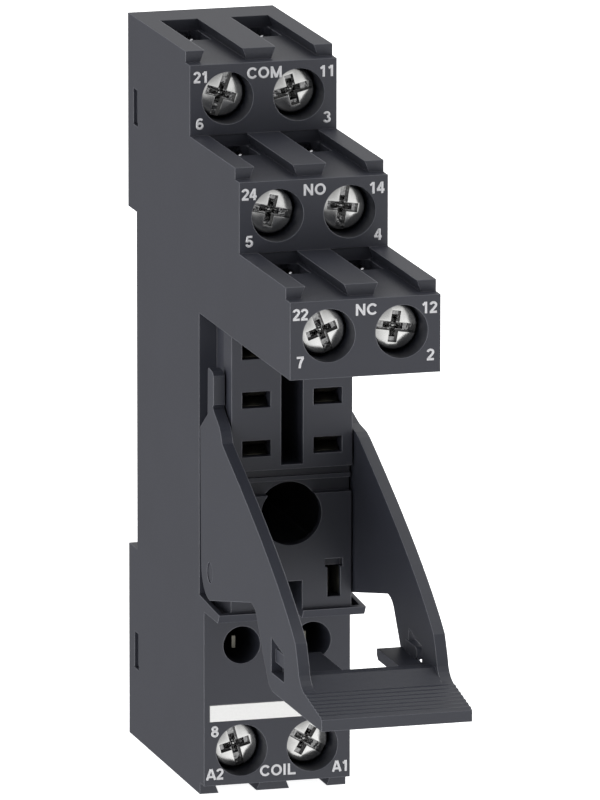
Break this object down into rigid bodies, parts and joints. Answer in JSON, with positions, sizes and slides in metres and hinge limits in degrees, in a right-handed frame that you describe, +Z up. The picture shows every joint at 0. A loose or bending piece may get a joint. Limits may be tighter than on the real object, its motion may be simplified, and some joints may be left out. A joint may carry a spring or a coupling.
{
  "type": "relay socket",
  "caption": "Narrow DIN-rail socket for a plug-in relay, with stepped screw terminals, coil terminals below and a swinging ejector lever.",
  "frame": {"origin": "centre of the rail seat: mid width, on the rear face that lies on the rail, mid height of the rail notch", "axes": "+X to the right seen from the front, -Y to the front where screws and relay go in, +Z up along the socket's height"},
  "size_m": [0.0154, 0.0724, 0.0764],
  "materials": {
    "moulding": "fine-grained matt",
    "cover_moulding": "fine-grained matt",
    "lever_moulding": "fine-grained matt",
    "label_card": "smooth matt",
    "nickel_steel": "nickel plated, satin",
    "zinc_steel": "zinc plated",
    "contact_metal": "bare stamped strip"
  },
  "bodies": {
    "socket": {"housing": "moulding", "rear_cover": "cover_moulding", "marker_strip": "label_card", "contact_21": "contact_metal", "contact_11": "contact_metal", "contact_24": "contact_metal", "contact_14": "contact_metal", "contact_22": "contact_metal", "contact_12": "contact_metal", "contact_a2": "contact_metal", "contact_a1": "contact_metal"},
    "lever": {"ejector_lever": "lever_moulding"},
    "latch": {"rail_latch": "lever_moulding"},
    "turning_screw_21": {"screw_21": "nickel_steel"},
    "lifting_clamp_21": {"clamp_21": "zinc_steel"},
    "turning_screw_11": {"screw_11": "nickel_steel"},
    "lifting_clamp_11": {"clamp_11": "zinc_steel"},
    "turning_screw_24": {"screw_24": "nickel_steel"},
    "lifting_clamp_24": {"clamp_24": "zinc_steel"},
    "turning_screw_14": {"screw_14": "nickel_steel"},
    "lifting_clamp_14": {"clamp_14": "zinc_steel"},
    "turning_screw_22": {"screw_22": "nickel_steel"},
    "lifting_clamp_22": {"clamp_22": "zinc_steel"},
    "turning_screw_12": {"screw_12": "nickel_steel"},
    "lifting_clamp_12": {"clamp_12": "zinc_steel"},
    "turning_screw_a2": {"screw_a2": "nickel_steel"},
    "lifting_clamp_a2": {"clamp_a2": "zinc_steel"},
    "turning_screw_a1": {"screw_a1": "nickel_steel"},
    "lifting_clamp_a1": {"clamp_a1": "zinc_steel"}
  },
  "joints": [
    {"name": "lever_swing", "type": "hinge", "parent": "socket", "child": "lever", "pos_m": [0, -0.02805, -0.01405], "axis": [1, 0, 0], "range_deg": [0, 22]},
    {"name": "latch_slide", "type": "slide", "parent": "socket", "child": "latch", "axis": [0, 0, -1], "range_m": [0, 0.0016], "stiffness_N_per_m": 1200, "springref_m": -0.001},
    {"name": "screw_21_turn", "type": "hinge", "parent": "socket", "child": "turning_screw_21", "pos_m": [-0.00375, -0.0206, 0.0334], "axis": [0, 1, 0], "range_deg": [0, 2521]},
    {"name": "clamp_21_lift", "type": "slide", "parent": "socket", "child": "lifting_clamp_21", "axis": [0, -1, 0], "range_m": [0, 0.0035]},
    {"name": "screw_11_turn", "type": "hinge", "parent": "socket", "child": "turning_screw_11", "pos_m": [0.00375, -0.0206, 0.0334], "axis": [0, 1, 0], "range_deg": [0, 2521]},
    {"name": "clamp_11_lift", "type": "slide", "parent": "socket", "child": "lifting_clamp_11", "axis": [0, -1, 0], "range_m": [0, 0.0035]},
    {"name": "screw_24_turn", "type": "hinge", "parent": "socket", "child": "turning_screw_24", "pos_m": [-0.00375, -0.03915, 0.0249], "axis": [0, 1, 0], "range_deg": [0, 2521]},
    {"name": "clamp_24_lift", "type": "slide", "parent": "socket", "child": "lifting_clamp_24", "axis": [0, -1, 0], "range_m": [0, 0.0035]},
    {"name": "screw_14_turn", "type": "hinge", "parent": "socket", "child": "turning_screw_14", "pos_m": [0.00375, -0.03915, 0.0249], "axis": [0, 1, 0], "range_deg": [0, 2521]},
    {"name": "clamp_14_lift", "type": "slide", "parent": "socket", "child": "lifting_clamp_14", "axis": [0, -1, 0], "range_m": [0, 0.0035]},
    {"name": "screw_22_turn", "type": "hinge", "parent": "socket", "child": "turning_screw_22", "pos_m": [-0.00375, -0.0577, 0.0164], "axis": [0, 1, 0], "range_deg": [0, 2521]},
    {"name": "clamp_22_lift", "type": "slide", "parent": "socket", "child": "lifting_clamp_22", "axis": [0, -1, 0], "range_m": [0, 0.0035]},
    {"name": "screw_12_turn", "type": "hinge", "parent": "socket", "child": "turning_screw_12", "pos_m": [0.00375, -0.0577, 0.0164], "axis": [0, 1, 0], "range_deg": [0, 2521]},
    {"name": "clamp_12_lift", "type": "slide", "parent": "socket", "child": "lifting_clamp_12", "axis": [0, -1, 0], "range_m": [0, 0.0035]},
    {"name": "screw_a2_turn", "type": "hinge", "parent": "socket", "child": "turning_screw_a2", "pos_m": [-0.00375, -0.0258, -0.0334], "axis": [0, 1, 0], "range_deg": [0, 2521]},
    {"name": "clamp_a2_lift", "type": "slide", "parent": "socket", "child": "lifting_clamp_a2", "axis": [0, -1, 0], "range_m": [0, 0.0035]},
    {"name": "screw_a1_turn", "type": "hinge", "parent": "socket", "child": "turning_screw_a1", "pos_m": [0.00375, -0.0258, -0.0334], "axis": [0, 1, 0], "range_deg": [0, 2521]},
    {"name": "clamp_a1_lift", "type": "slide", "parent": "socket", "child": "lifting_clamp_a1", "axis": [0, -1, 0], "range_m": [0, 0.0035]}
  ],
  "couplings": [
    {"joint": "screw_21_turn", "follows": "clamp_21_lift", "rad_per_m": 12566},
    {"joint": "screw_11_turn", "follows": "clamp_11_lift", "rad_per_m": 12566},
    {"joint": "screw_24_turn", "follows": "clamp_24_lift", "rad_per_m": 12566},
    {"joint": "screw_14_turn", "follows": "clamp_14_lift", "rad_per_m": 12566},
    {"joint": "screw_22_turn", "follows": "clamp_22_lift", "rad_per_m": 12566},
    {"joint": "screw_12_turn", "follows": "clamp_12_lift", "rad_per_m": 12566},
    {"joint": "screw_a2_turn", "follows": "clamp_a2_lift", "rad_per_m": 12566},
    {"joint": "screw_a1_turn", "follows": "clamp_a1_lift", "rad_per_m": 12566}
  ]
}
